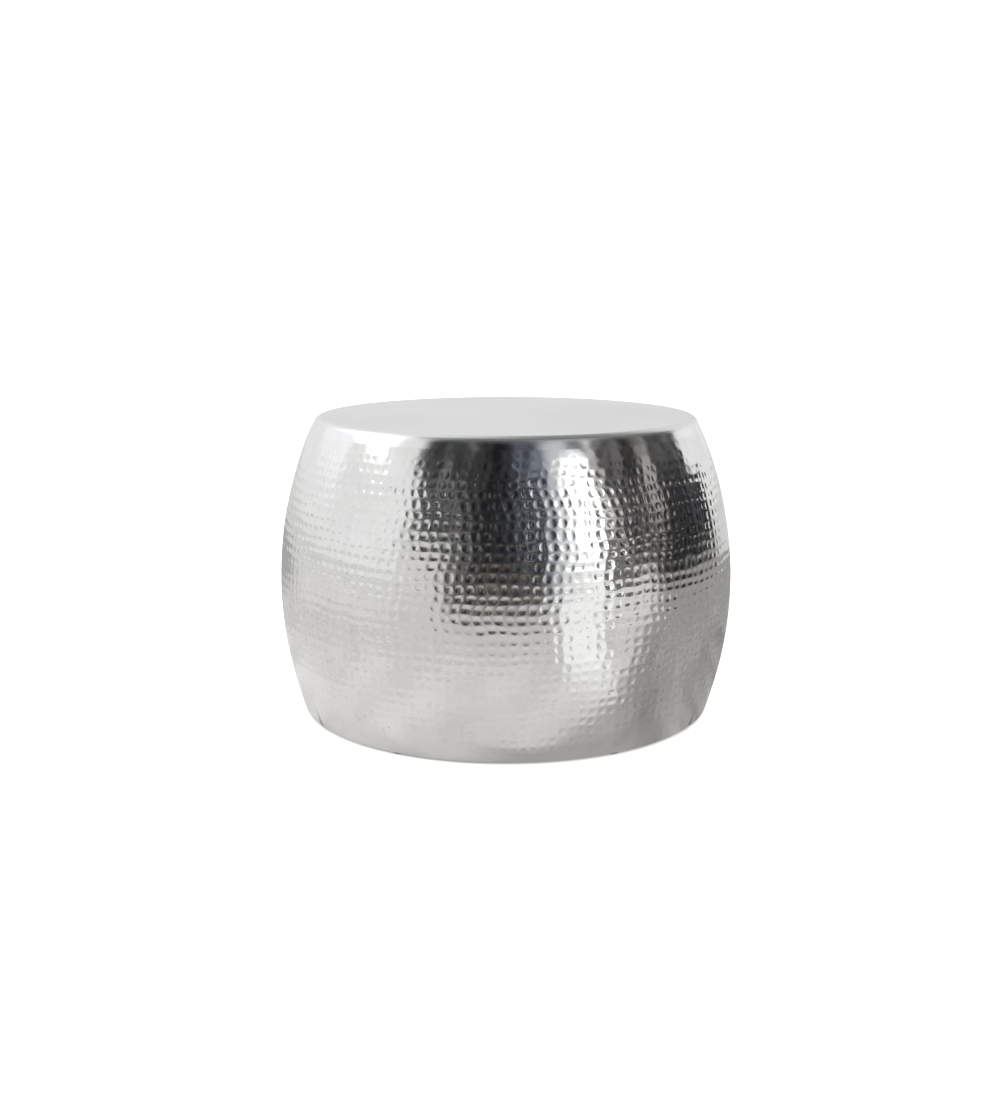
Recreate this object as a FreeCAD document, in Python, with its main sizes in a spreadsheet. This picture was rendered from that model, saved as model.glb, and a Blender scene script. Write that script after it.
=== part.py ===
"""Hammered aluminium drum table: a barrel of three sheet panels under a spun top plate.

The flat top is a shallow spun pan. Its skirt butts on three barrel panels, whose bottom edge is turned
in as a flange. A rolled angle ring bridges that joint inside and carries the board that stiffens the top.
A plywood ring on the flange ties the panels together at the base, and felt pads under the flange meet
the floor.

Millimetres, +Z up, origin on the floor at the drum's axis, front towards -Y.
"""

import FreeCAD
import Part
import Sketcher

import math
import os

from FreeCAD import Placement, Rotation, Vector

OUT_FOLDER = "parts"
UP = Vector(0, 0, 1)
EDGE_POINTS = ("edge", "start", "end", "centre")
SKETCH_AXES = ("origin", "level axis", "upright axis")

# Driving sizes, one cell each on the sheet.
DRIVING_SIZES = {
    # The barrel, drawn as one arc from base to rim, and the pan that closes it.
    "belly_diameter": 600.0,
    "belly_height": 170.0,
    "table_height": 390.0,
    "barrel_arc_radius": 490.0,
    "sheet_gauge": 2.0,
    "rim_radius": 10.0,
    "skirt_depth": 16.0,
    # The turned-in foot of the barrel and the felt under it.
    "base_bend_radius": 4.0,
    "flange_width": 24.0,
    "pad_thickness": 2.0,
    "pad_diameter": 20.0,
    "pad_count": 6,
    # The pieces that line the barrel from inside.
    "lining_gap": 0.35,
    "seam_strip_width": 30.0,
    "seam_strip_gauge": 1.2,
    "seam_strip_end_gap": 2.0,
    "support_ring_gauge": 2.5,
    "support_ring_leg": 26.0,
    # The board under the top and the plywood ring on the flange.
    "board_thickness": 9.0,
    "board_edge_clearance": 1.5,
    "board_bearing": 18.0,
    "base_ring_thickness": 12.0,
    "base_ring_width": 34.0,
    "base_ring_clearance": 1.0,
    # The screws, one size for the board and the base ring.
    "screws_per_panel": 3,
    "screw_shank_diameter": 3.5,
    "screw_hole_clearance": 0.25,
    "pilot_hole_clearance": 0.05,
    "pilot_hole_spare_depth": 0.5,
    "screw_tip_length": 3.0,
    "screw_head_diameter": 7.0,
    "screw_recess_span": 3.6,
    "screw_recess_slot": 0.9,
    "screw_recess_depth": 1.0,
    "pan_head_height": 2.4,
    "pan_head_edge": 1.0,
    "screw_tip_cover": 2.0,
}

doc = FreeCAD.newDocument("hammered_drum_table")
sheet = doc.addObject("Spreadsheet::Sheet", "Sizes")
for row, (alias, size) in enumerate(DRIVING_SIZES.items(), start=1):
    sheet.set(f"A{row}", alias.replace("_", " "))
    sheet.set(f"B{row}", str(size))
    sheet.setAlias(f"B{row}", alias)
doc.recompute()


# Expressions on the sheet, shared by every piece that fits another.
def arc_reach(inset, height):
    """Radius from the axis of the barrel arc, set in from the outside face, at a height."""
    return (
        f"(Sizes.belly_diameter / 2 - Sizes.barrel_arc_radius"
        f" + sqrt((Sizes.barrel_arc_radius - ({inset}))^2 - ({height} - Sizes.belly_height)^2))"
    )


ARC_CENTRE = ("(Sizes.belly_diameter / 2 - Sizes.barrel_arc_radius)", "Sizes.belly_height")
OUTSIDE = "0"
INSIDE = "Sizes.sheet_gauge"
LINING = f"({INSIDE} + Sizes.lining_gap)"

TOP = "Sizes.table_height"
TOP_UNDERSIDE = f"({TOP} - Sizes.sheet_gauge)"
SKIRT_END = f"({TOP} - Sizes.skirt_depth)"
RIM_CENTRE_HEIGHT = f"({TOP} - Sizes.rim_radius)"
FLAT_RADIUS = arc_reach("Sizes.rim_radius", RIM_CENTRE_HEIGHT)

FLANGE_BOTTOM = "Sizes.pad_thickness"
FLANGE_TOP = f"({FLANGE_BOTTOM} + Sizes.sheet_gauge)"
BEND_CENTRE_HEIGHT = f"({FLANGE_BOTTOM} + Sizes.base_bend_radius)"
BEND_CENTRE_RADIUS = arc_reach("Sizes.base_bend_radius", BEND_CENTRE_HEIGHT)
FLANGE_EDGE = f"({BEND_CENTRE_RADIUS} - Sizes.flange_width)"
FLANGE_MIDDLE = f"({BEND_CENTRE_RADIUS} - Sizes.flange_width / 2)"

BOARD_UNDERSIDE = f"({TOP_UNDERSIDE} - Sizes.board_thickness)"
BOARD_RADIUS = f"({FLAT_RADIUS} - Sizes.board_edge_clearance)"
SUPPORT_RING_EDGE = f"({BOARD_RADIUS} - Sizes.board_bearing)"
SUPPORT_RING_SHELF = f"({BOARD_UNDERSIDE} - Sizes.support_ring_gauge)"
SUPPORT_RING_END = f"({BOARD_UNDERSIDE} - Sizes.support_ring_leg)"
BOARD_SCREW_CIRCLE = f"({BOARD_RADIUS} - Sizes.board_bearing / 2)"

BASE_RING_TOP = f"({FLANGE_TOP} + Sizes.base_ring_thickness)"
BASE_RING_OUTSIDE = f"({BEND_CENTRE_RADIUS} - Sizes.base_ring_clearance)"
BASE_RING_INSIDE = f"({BASE_RING_OUTSIDE} - Sizes.base_ring_width)"

SHANK_RADIUS = "(Sizes.screw_shank_diameter / 2)"
HEAD_RADIUS = "(Sizes.screw_head_diameter / 2)"
HOLE_RADIUS = f"({SHANK_RADIUS} + Sizes.screw_hole_clearance)"
PILOT_RADIUS = f"({SHANK_RADIUS} + Sizes.pilot_hole_clearance)"
SINK_DEPTH = f"({HEAD_RADIUS} - {SHANK_RADIUS})"
BOARD_SCREW_TIP = f"({TOP_UNDERSIDE} - Sizes.screw_tip_cover)"
BASE_SCREW_TIP = f"({BASE_RING_TOP} - Sizes.screw_tip_cover)"

PANEL_AZIMUTHS = {"front": -90.0, "right": 30.0, "left": 150.0}
SEAM_AZIMUTHS = {"right": -30.0, "back": 90.0, "left": 210.0}
PANEL_ANGLE = 360.0 / len(PANEL_AZIMUTHS)
SCREW_COUNT = f"({len(PANEL_AZIMUTHS)} * Sizes.screws_per_panel)"
SCREW_STEP = f"({PANEL_ANGLE} / Sizes.screws_per_panel)"
FIRST_SCREW_TURN = f"({SCREW_STEP} / 2 - {PANEL_ANGLE / 2})"
LAST_SCREW_TURN = f"({SCREW_STEP} * (Sizes.screws_per_panel - 1))"


def number(expression):
    """What an expression comes to with the sheet's present sizes."""
    return float(sheet.evalExpression(expression))


def point(place):
    """A sketch point from a pair of expressions, or a point already worked out."""
    if isinstance(place, Vector):
        return place
    return Vector(number(place[0]), number(place[1]), 0)


def fillet_touch(fillet_centre, inset):
    """Where a fillet about a centre runs into the barrel arc, set in from the outside face."""
    middle = point(ARC_CENTRE)
    towards = (point(fillet_centre) - middle).normalize()
    return middle + towards * (number("Sizes.barrel_arc_radius") - number(inset))


def place_number(part):
    """The number that stands for a point of an edge or an axis of a sketch. Other parts stay as they are."""
    if part in EDGE_POINTS:
        return EDGE_POINTS.index(part)
    if part in SKETCH_AXES:
        return -SKETCH_AXES.index(part)
    return part


class Outline:
    """A sketch on one of a body's own planes, drawn from expressions and bound to them.

    On the upright plane the first coordinate is the distance from the axis and the second the height.
    """

    def __init__(self, body, name, plane="XZ_Plane", turn=None, height=None):
        self.sketch = body.newObject("Sketcher::SketchObject", name)
        support = next(f for f in body.Origin.OriginFeatures if f.Role == plane)
        self.sketch.AttachmentSupport = [(support, "")]
        self.sketch.MapMode = "FlatFace"
        if turn is not None:
            self.sketch.AttachmentOffset = Placement(Vector(), Rotation(Vector(0, 1, 0), number(turn)))
        if height is not None:
            self.sketch.setExpression("AttachmentOffset.Base.z", height)

    def line(self, start, end, construction=False):
        return self.sketch.addGeometry(Part.LineSegment(point(start), point(end)), construction)

    def arc(self, centre, start, end):
        """An arc, anticlockwise from one point to another about a centre."""
        middle = point(centre)
        first, last = (point(p) - middle for p in (start, end))
        circle = Part.Circle(middle, UP, first.Length)
        angles = [math.atan2(v.y, v.x) for v in (first, last)]
        return self.sketch.addGeometry(Part.ArcOfCircle(circle, *angles))

    def circle(self, centre, radius):
        """A circle with its centre and radius bound."""
        edge = self.sketch.addGeometry(Part.Circle(point(centre), UP, number(radius)))
        self.bind("Radius", radius, edge)
        self.place(edge, "centre", centre)
        return edge

    def rule(self, kind, *where):
        """A constraint between edges, the ends named on them and the sketch's axes."""
        places = [place_number(part) for part in where]
        return self.sketch.addConstraint(Sketcher.Constraint(kind, *places))

    def bind(self, kind, expression, *where):
        """A dimension that follows an expression."""
        index = self.rule(kind, *where, number(expression))
        self.sketch.setExpression(f"Constraints[{index}]", expression)

    def place(self, edge, end, where):
        """Binds both coordinates of one end of an edge."""
        if where[0] == "0":
            self.rule("PointOnObject", edge, end, "upright axis")
        else:
            self.bind("DistanceX", where[0], edge, end)
        if where[1] == "0":
            self.rule("PointOnObject", edge, end, "level axis")
        else:
            self.bind("DistanceY", where[1], edge, end)

    def polygon(self, corners):
        """A closed run of straight edges with every corner bound."""
        edges = [self.line(a, b) for a, b in zip(corners, corners[1:] + corners[:1])]
        for edge, following in zip(edges, edges[1:] + edges[:1]):
            self.rule("Coincident", edge, "end", following, "start")
        for edge, corner in zip(edges, corners):
            self.place(edge, "start", corner)
        return edges

    def axis(self, radius):
        """An upright construction line to turn a screw or its hole about."""
        edge = self.line((radius, "0"), (radius, "Sizes.table_height"), construction=True)
        self.place(edge, "start", (radius, "0"))
        self.place(edge, "end", (radius, "Sizes.table_height"))


def body_named(name):
    return doc.addObject("PartDesign::Body", name)


def feature(body, kind, outline, **settings):
    """A solid feature of a body made from an outline. Settings given as text are expressions."""
    made = body.newObject(f"PartDesign::{kind}", f"{body.Name}_{kind.lower()}")
    made.Profile = outline.sketch
    for name, setting in settings.items():
        if isinstance(setting, str):
            made.setExpression(name, setting)
        else:
            setattr(made, name, setting)
    doc.recompute()
    return made


def revolve(body, outline, angle="360", kind="Revolution", axis="V_Axis", midplane=False):
    return feature(
        body,
        kind,
        outline,
        ReferenceAxis=(outline.sketch, [axis]),
        Angle=angle,
        Midplane=midplane,
    )


def pattern(body, originals, count, extent="360"):
    """Copies features evenly round the drum's axis, over a full turn or from end to end of a part of one."""
    copies = body.newObject("PartDesign::PolarPattern", f"{body.Name}_pattern")
    copies.Originals = originals
    upright = next(f for f in body.Origin.OriginFeatures if f.Role == "Z_Axis")
    copies.Axis = (upright, [""])
    body.Tip = copies
    copies.setExpression("Angle", extent)
    copies.setExpression("Occurrences", count)
    doc.recompute()


def turn_about_axis(body, azimuth):
    body.Placement = Placement(Vector(), Rotation(UP, azimuth))


# Top plate: a spun pan, flat on top, with a rounded rim and a short plain skirt on the barrel's arc.
def make_top_plate():
    body = body_named("top_plate")
    pan = Outline(body, "pan_section")
    rim_centre = (FLAT_RADIUS, RIM_CENTRE_HEIGHT)
    outside_turn = fillet_touch(rim_centre, OUTSIDE)
    inside_turn = fillet_touch(rim_centre, INSIDE)
    outside_end = (arc_reach(OUTSIDE, SKIRT_END), SKIRT_END)
    inside_end = (arc_reach(INSIDE, SKIRT_END), SKIRT_END)
    flat = pan.line(("0", TOP), (FLAT_RADIUS, TOP))
    rim = pan.arc(rim_centre, outside_turn, (FLAT_RADIUS, TOP))
    skirt = pan.arc(ARC_CENTRE, outside_end, outside_turn)
    weld_edge = pan.line(outside_end, inside_end)
    skirt_inside = pan.arc(ARC_CENTRE, inside_end, inside_turn)
    rim_inside = pan.arc(rim_centre, inside_turn, (FLAT_RADIUS, TOP_UNDERSIDE))
    underside = pan.line((FLAT_RADIUS, TOP_UNDERSIDE), ("0", TOP_UNDERSIDE))
    middle = pan.line(("0", TOP_UNDERSIDE), ("0", TOP))
    pan.rule("Tangent", flat, "end", rim, "end")
    pan.rule("Tangent", rim, "start", skirt, "end")
    pan.rule("Coincident", skirt, "start", weld_edge, "start")
    pan.rule("Coincident", weld_edge, "end", skirt_inside, "start")
    pan.rule("Tangent", skirt_inside, "end", rim_inside, "start")
    pan.rule("Tangent", rim_inside, "end", underside, "start")
    pan.rule("Coincident", underside, "end", middle, "start")
    pan.rule("Coincident", middle, "end", flat, "start")
    for edge in (flat, weld_edge, underside):
        pan.rule("Horizontal", edge)
    pan.rule("Vertical", middle)
    pan.rule("PointOnObject", middle, "start", "upright axis")
    pan.rule("Coincident", skirt_inside, "centre", skirt, "centre")
    pan.rule("Coincident", rim_inside, "centre", rim, "centre")
    pan.place(skirt, "centre", ARC_CENTRE)
    pan.bind("Radius", "Sizes.barrel_arc_radius", skirt)
    pan.bind("Radius", f"Sizes.barrel_arc_radius - {INSIDE}", skirt_inside)
    pan.bind("Radius", "Sizes.rim_radius", rim)
    pan.bind("DistanceY", TOP, flat, "start")
    pan.bind("DistanceY", SKIRT_END, weld_edge, "start")
    revolve(body, pan)
    return body


# Shell panels: three hammered staves of the barrel, each with its stretch of the turned-in base flange.
def make_shell_panel(side, azimuth):
    body = body_named(f"shell_panel_{side}")
    wall = Outline(body, f"{side}_wall_section")
    bend_centre = (BEND_CENTRE_RADIUS, BEND_CENTRE_HEIGHT)
    outside_turn = fillet_touch(bend_centre, OUTSIDE)
    inside_turn = fillet_touch(bend_centre, INSIDE)
    outside_end = (arc_reach(OUTSIDE, SKIRT_END), SKIRT_END)
    inside_end = (arc_reach(INSIDE, SKIRT_END), SKIRT_END)
    outside = wall.arc(ARC_CENTRE, outside_turn, outside_end)
    weld_edge = wall.line(outside_end, inside_end)
    inside = wall.arc(ARC_CENTRE, inside_turn, inside_end)
    bend_inside = wall.arc(bend_centre, (BEND_CENTRE_RADIUS, FLANGE_TOP), inside_turn)
    flange_top = wall.line((BEND_CENTRE_RADIUS, FLANGE_TOP), (FLANGE_EDGE, FLANGE_TOP))
    flange_edge = wall.line((FLANGE_EDGE, FLANGE_TOP), (FLANGE_EDGE, FLANGE_BOTTOM))
    flange_bottom = wall.line((FLANGE_EDGE, FLANGE_BOTTOM), (BEND_CENTRE_RADIUS, FLANGE_BOTTOM))
    bend = wall.arc(bend_centre, (BEND_CENTRE_RADIUS, FLANGE_BOTTOM), outside_turn)
    wall.rule("Coincident", outside, "end", weld_edge, "start")
    wall.rule("Coincident", weld_edge, "end", inside, "end")
    wall.rule("Tangent", inside, "start", bend_inside, "end")
    wall.rule("Tangent", bend_inside, "start", flange_top, "start")
    wall.rule("Coincident", flange_top, "end", flange_edge, "start")
    wall.rule("Coincident", flange_edge, "end", flange_bottom, "start")
    wall.rule("Tangent", flange_bottom, "end", bend, "start")
    wall.rule("Tangent", bend, "end", outside, "start")
    for edge in (weld_edge, flange_top, flange_bottom):
        wall.rule("Horizontal", edge)
    wall.rule("Vertical", flange_edge)
    wall.rule("Coincident", inside, "centre", outside, "centre")
    wall.rule("Coincident", bend_inside, "centre", bend, "centre")
    wall.place(outside, "centre", ARC_CENTRE)
    wall.bind("Radius", "Sizes.barrel_arc_radius", outside)
    wall.bind("Radius", f"Sizes.barrel_arc_radius - {INSIDE}", inside)
    wall.bind("Radius", "Sizes.base_bend_radius", bend)
    wall.bind("DistanceY", SKIRT_END, weld_edge, "start")
    wall.place(flange_edge, "end", (FLANGE_EDGE, FLANGE_BOTTOM))
    revolve(body, wall, angle=str(PANEL_ANGLE), midplane=True)
    sink_flange(body, side)
    turn_about_axis(body, azimuth)
    return body


def sink_flange(body, side):
    """Countersunk holes through one panel's flange for its share of the base ring's screws."""
    hole = Outline(body, f"{side}_screw_hole_section", turn=FIRST_SCREW_TURN)
    hole.axis(FLANGE_MIDDLE)
    sink_edge = f"({FLANGE_MIDDLE} + {HEAD_RADIUS} + Sizes.screw_hole_clearance)"
    hole_edge = f"({FLANGE_MIDDLE} + {HOLE_RADIUS})"
    hole.polygon([
        (FLANGE_MIDDLE, FLANGE_BOTTOM),
        (sink_edge, FLANGE_BOTTOM),
        (hole_edge, f"({FLANGE_BOTTOM} + {SINK_DEPTH})"),
        (hole_edge, FLANGE_TOP),
        (FLANGE_MIDDLE, FLANGE_TOP),
    ])
    before = body.Shape.Volume
    cut = revolve(body, hole, kind="Groove", axis="Axis0")
    pattern(body, [cut], "Sizes.screws_per_panel", extent=LAST_SCREW_TURN)
    if body.Shape.Volume >= before:
        raise RuntimeError(f"{body.Name}: the screw holes cut nothing")


# Seam strips: thin sheet strips behind the upright welds between the panels.
def arc_band(body, name, outer_inset, gauge, low, high):
    """A strip of even gauge on the barrel's arc, between two heights."""
    band = Outline(body, name)
    inner_inset = f"({outer_inset} + {gauge})"
    outer_low, outer_high = ((arc_reach(outer_inset, z), z) for z in (low, high))
    inner_low, inner_high = ((arc_reach(inner_inset, z), z) for z in (low, high))
    outer = band.arc(ARC_CENTRE, outer_low, outer_high)
    head = band.line(outer_high, inner_high)
    inner = band.arc(ARC_CENTRE, inner_low, inner_high)
    foot = band.line(inner_low, outer_low)
    band.rule("Coincident", outer, "end", head, "start")
    band.rule("Coincident", head, "end", inner, "end")
    band.rule("Coincident", inner, "start", foot, "start")
    band.rule("Coincident", foot, "end", outer, "start")
    band.rule("Horizontal", head)
    band.rule("Horizontal", foot)
    band.rule("Coincident", inner, "centre", outer, "centre")
    band.place(outer, "centre", ARC_CENTRE)
    band.bind("Radius", f"Sizes.barrel_arc_radius - {outer_inset}", outer)
    band.bind("Radius", f"Sizes.barrel_arc_radius - {inner_inset}", inner)
    band.bind("DistanceY", low, foot, "start")
    band.bind("DistanceY", high, head, "start")
    return band


def make_seam_strip(side, azimuth):
    body = body_named(f"seam_strip_{side}")
    low = f"({BASE_RING_TOP} + Sizes.seam_strip_end_gap)"
    high = f"({SUPPORT_RING_END} - Sizes.seam_strip_end_gap)"
    strip = arc_band(body, f"{side}_strip_section", LINING, "Sizes.seam_strip_gauge", low, high)
    revolve(body, strip, angle="360 * Sizes.seam_strip_width / (pi * Sizes.belly_diameter)", midplane=True)
    turn_about_axis(body, azimuth)
    return body


# Support ring: a rolled angle whose upright leg lies behind the weld and whose shelf carries the board.
def make_support_ring():
    body = body_named("support_ring")
    leg = arc_band(body, "leg_section", LINING, "Sizes.support_ring_gauge", SUPPORT_RING_END, BOARD_UNDERSIDE)
    revolve(body, leg)
    shelf = Outline(body, "shelf_section")
    on_leg = arc_reach(f"({LINING} + Sizes.support_ring_gauge / 2)", BOARD_UNDERSIDE)
    shelf.polygon([
        (SUPPORT_RING_EDGE, SUPPORT_RING_SHELF),
        (on_leg, SUPPORT_RING_SHELF),
        (on_leg, BOARD_UNDERSIDE),
        (SUPPORT_RING_EDGE, BOARD_UNDERSIDE),
    ])
    revolve(body, shelf)
    drill(body, "shelf_hole", BOARD_SCREW_CIRCLE, HOLE_RADIUS, SUPPORT_RING_SHELF, "Sizes.support_ring_gauge")
    return body


def drill(body, name, circle_radius, hole_radius, height, depth):
    """A ring of round holes, drilled upwards from a height."""
    hole = Outline(body, name, plane="XY_Plane", height=height)
    hole.circle((circle_radius, "0"), hole_radius)
    before = body.Shape.Volume
    cut = feature(body, "Pocket", hole, Length=depth, Reversed=True)
    pattern(body, [cut], SCREW_COUNT)
    if body.Shape.Volume >= before:
        raise RuntimeError(f"{body.Name}: {name} cut nothing")


# Backing board: a round board glued under the flat top so that the sheet neither drums nor dents.
def make_backing_board():
    body = body_named("backing_board")
    disc = Outline(body, "board_outline", plane="XY_Plane", height=BOARD_UNDERSIDE)
    disc.circle(("0", "0"), BOARD_RADIUS)
    feature(body, "Pad", disc, Length="Sizes.board_thickness")
    depth = f"{BOARD_SCREW_TIP} - {BOARD_UNDERSIDE} + Sizes.pilot_hole_spare_depth"
    drill(body, "board_pilot_hole", BOARD_SCREW_CIRCLE, PILOT_RADIUS, BOARD_UNDERSIDE, depth)
    return body


# Base ring: a flat plywood ring that sits on the flange and holds the three panels' feet together.
BASE_SCREW_AZIMUTH = PANEL_AZIMUTHS["front"] + number(FIRST_SCREW_TURN)


def make_base_ring():
    body = body_named("base_ring")
    section = Outline(body, "base_ring_section")
    section.polygon([
        (BASE_RING_INSIDE, FLANGE_TOP),
        (BASE_RING_OUTSIDE, FLANGE_TOP),
        (BASE_RING_OUTSIDE, BASE_RING_TOP),
        (BASE_RING_INSIDE, BASE_RING_TOP),
    ])
    revolve(body, section)
    depth = f"{BASE_SCREW_TIP} - {FLANGE_TOP} + Sizes.pilot_hole_spare_depth"
    drill(body, "base_pilot_hole", FLANGE_MIDDLE, PILOT_RADIUS, FLANGE_TOP, depth)
    turn_about_axis(body, BASE_SCREW_AZIMUTH)
    return body


# Screws: driven upwards from inside the drum and from under the flange, each with a cross recess.
def cross_recess(body, name, circle_radius, height):
    """A cross-shaped pocket in the head of a screw, cut upwards from a height."""
    recess = Outline(body, name, plane="XY_Plane", height=height)
    reach, side = "(Sizes.screw_recess_span / 2)", "(Sizes.screw_recess_slot / 2)"
    back_reach, back_side = f"(-1 * {reach})", f"(-1 * {side})"
    corners = [
        (reach, back_side), (reach, side), (side, side),
        (side, reach), (back_side, reach), (back_side, side),
        (back_reach, side), (back_reach, back_side), (back_side, back_side),
        (back_side, back_reach), (side, back_reach), (side, back_side),
    ]
    recess.polygon([(f"({circle_radius} + {out})", aside) for out, aside in corners])
    return feature(body, "Pocket", recess, Length="Sizes.screw_recess_depth", Reversed=True)


def make_screws(name, circle_radius, head_end, section):
    """A ring of equal screws. The half section pairs a distance from the screw's axis with a height."""
    body = body_named(name)
    shape = Outline(body, f"{name}_section")
    shape.axis(circle_radius)
    shape.polygon([(f"({circle_radius} + {out})", height) for out, height in section])
    turned_screw = revolve(body, shape, axis="Axis0")
    recess = cross_recess(body, f"{name}_recess", circle_radius, head_end)
    pattern(body, [turned_screw, recess], SCREW_COUNT)
    return body


def make_board_screws():
    head_end = f"({SUPPORT_RING_SHELF} - Sizes.pan_head_height)"
    head_crown = f"({HEAD_RADIUS} - Sizes.pan_head_edge)"
    section = [
        ("0", head_end),
        (head_crown, head_end),
        (HEAD_RADIUS, f"({head_end} + Sizes.pan_head_edge)"),
        (HEAD_RADIUS, SUPPORT_RING_SHELF),
        (SHANK_RADIUS, SUPPORT_RING_SHELF),
        (SHANK_RADIUS, f"({BOARD_SCREW_TIP} - Sizes.screw_tip_length)"),
        ("0", BOARD_SCREW_TIP),
    ]
    return make_screws("board_screws", BOARD_SCREW_CIRCLE, head_end, section)


def make_base_screws():
    section = [
        ("0", FLANGE_BOTTOM),
        (HEAD_RADIUS, FLANGE_BOTTOM),
        (SHANK_RADIUS, f"({FLANGE_BOTTOM} + {SINK_DEPTH})"),
        (SHANK_RADIUS, f"({BASE_SCREW_TIP} - Sizes.screw_tip_length)"),
        ("0", BASE_SCREW_TIP),
    ]
    body = make_screws("base_screws", FLANGE_MIDDLE, FLANGE_BOTTOM, section)
    turn_about_axis(body, BASE_SCREW_AZIMUTH)
    return body


# Felt pads: round pads stuck under the flange, the only pieces that touch the floor.
def make_felt_pads():
    body = body_named("felt_pads")
    disc = Outline(body, "pad_outline", plane="XY_Plane")
    disc.circle((FLANGE_MIDDLE, "0"), "Sizes.pad_diameter / 2")
    pad = feature(body, "Pad", disc, Length="Sizes.pad_thickness")
    pattern(body, [pad], "Sizes.pad_count")
    return body


pieces = [
    make_top_plate(),
    *(make_shell_panel(side, azimuth) for side, azimuth in PANEL_AZIMUTHS.items()),
    *(make_seam_strip(side, azimuth) for side, azimuth in SEAM_AZIMUTHS.items()),
    make_support_ring(),
    make_backing_board(),
    make_board_screws(),
    make_base_ring(),
    make_base_screws(),
    make_felt_pads(),
]
doc.recompute()

for made in doc.Objects:
    if {"Invalid", "Error"} & set(made.State):
        raise RuntimeError(f"{made.Label} did not recompute: {made.State}")
for piece in pieces:
    if piece.Shape.isNull() or not piece.Shape.isValid() or not piece.Shape.Solids:
        raise RuntimeError(f"{piece.Label} has no valid solid")

os.makedirs(OUT_FOLDER, exist_ok=True)
for piece in pieces:
    piece.Shape.exportStep(os.path.join(OUT_FOLDER, f"{piece.Label}.step"))
    box = piece.Shape.BoundBox
    print(f"{piece.Label}: {len(piece.Shape.Solids)} solids, {piece.Shape.Volume / 1000:.1f} cm3, "
          f"z {box.ZMin:.2f} to {box.ZMax:.2f}, x {box.XMin:.1f} to {box.XMax:.1f}")
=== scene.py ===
import math
import random

import bmesh
import bpy
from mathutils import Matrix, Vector, noise


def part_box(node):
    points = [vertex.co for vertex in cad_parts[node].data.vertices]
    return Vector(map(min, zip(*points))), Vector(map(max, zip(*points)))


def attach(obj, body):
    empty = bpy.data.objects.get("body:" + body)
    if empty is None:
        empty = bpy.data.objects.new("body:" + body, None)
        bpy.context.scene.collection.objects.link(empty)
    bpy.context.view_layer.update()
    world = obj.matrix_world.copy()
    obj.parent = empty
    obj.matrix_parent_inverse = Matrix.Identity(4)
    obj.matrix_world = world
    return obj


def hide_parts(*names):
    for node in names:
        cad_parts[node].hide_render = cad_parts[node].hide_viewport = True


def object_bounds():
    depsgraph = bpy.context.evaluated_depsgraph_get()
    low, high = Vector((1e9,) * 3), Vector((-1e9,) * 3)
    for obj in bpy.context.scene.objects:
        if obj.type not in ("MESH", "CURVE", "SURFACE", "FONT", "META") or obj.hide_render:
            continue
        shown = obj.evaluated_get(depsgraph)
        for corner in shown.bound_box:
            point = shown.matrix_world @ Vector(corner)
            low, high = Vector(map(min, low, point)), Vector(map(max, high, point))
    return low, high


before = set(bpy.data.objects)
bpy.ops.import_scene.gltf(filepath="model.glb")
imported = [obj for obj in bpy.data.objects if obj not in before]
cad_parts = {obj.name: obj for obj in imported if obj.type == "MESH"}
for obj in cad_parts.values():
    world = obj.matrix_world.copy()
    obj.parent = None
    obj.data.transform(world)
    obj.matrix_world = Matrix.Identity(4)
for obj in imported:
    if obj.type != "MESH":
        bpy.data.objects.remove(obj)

cad_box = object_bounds()
scene = bpy.context.scene

# Camera
# It stands about 1.9 m in front of the drum at sitting height and looks slightly down.
# The lens follows from the photograph, which shows the drum a little right of the middle.
PHOTO_WIDTH = 995
PHOTO_HEIGHT = 1096
FOCAL_PIXELS = 1451.25
DRUM_AXIS_COLUMN = 505.8
CAMERA_DISTANCE = 1.9129
CAMERA_HEIGHT = 0.5883
LOOK_DOWN = 0.1956
SENSOR = 36.0

camera_data = bpy.data.cameras.new("photo_camera")
camera_data.sensor_width = SENSOR
camera_data.lens = SENSOR * FOCAL_PIXELS / PHOTO_HEIGHT
camera_data.shift_x = (PHOTO_WIDTH / 2 - DRUM_AXIS_COLUMN) / PHOTO_HEIGHT
camera = bpy.data.objects.new("photo_camera", camera_data)
camera.location = (0, -CAMERA_DISTANCE, CAMERA_HEIGHT)
camera.rotation_euler = (math.pi / 2 - LOOK_DOWN, 0, 0)
scene.collection.objects.link(camera)
scene.camera = camera
scene.view_settings.view_transform = "Standard"

# Studio floor, world and lamps
# A white paper sweep under a big soft lamp, with a softbox on the left and a strip light on the right.
# Camera rays see the paper lifted to white except under the drum, and it keeps the drum's soft shadow.
FLOOR_REACH = 8.0
FLOOR_DROP = 0.0004
FLOOR_COLOUR = (0.80, 0.79, 0.775)
FLOOR_TONE = (0.84, 1.14)
FLOOR_TONE_SCALE = 6.5
FLOOR_CAMERA_LIFT = 0.90
FLOOR_METAL_GLOW = 0.16
FLOOR_METAL_REACH = 0.75
FLOOR_FAR_GLOW = 0.09
FLOOR_FAR_START = 0.92
FLOOR_FAR_END = 1.08
FLOOR_SHADE_RADIUS = 0.258
FLOOR_LIFT_RADIUS = 0.276
FLOOR_INSIDE_GLOW = 0.8
FLOOR_INSIDE_RADIUS = 0.20
FLOOR_FLANGE_RADIUS = 0.235
SEEN_DIRECTLY = ("Is Camera Ray", "Is Transmission Ray")
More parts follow.
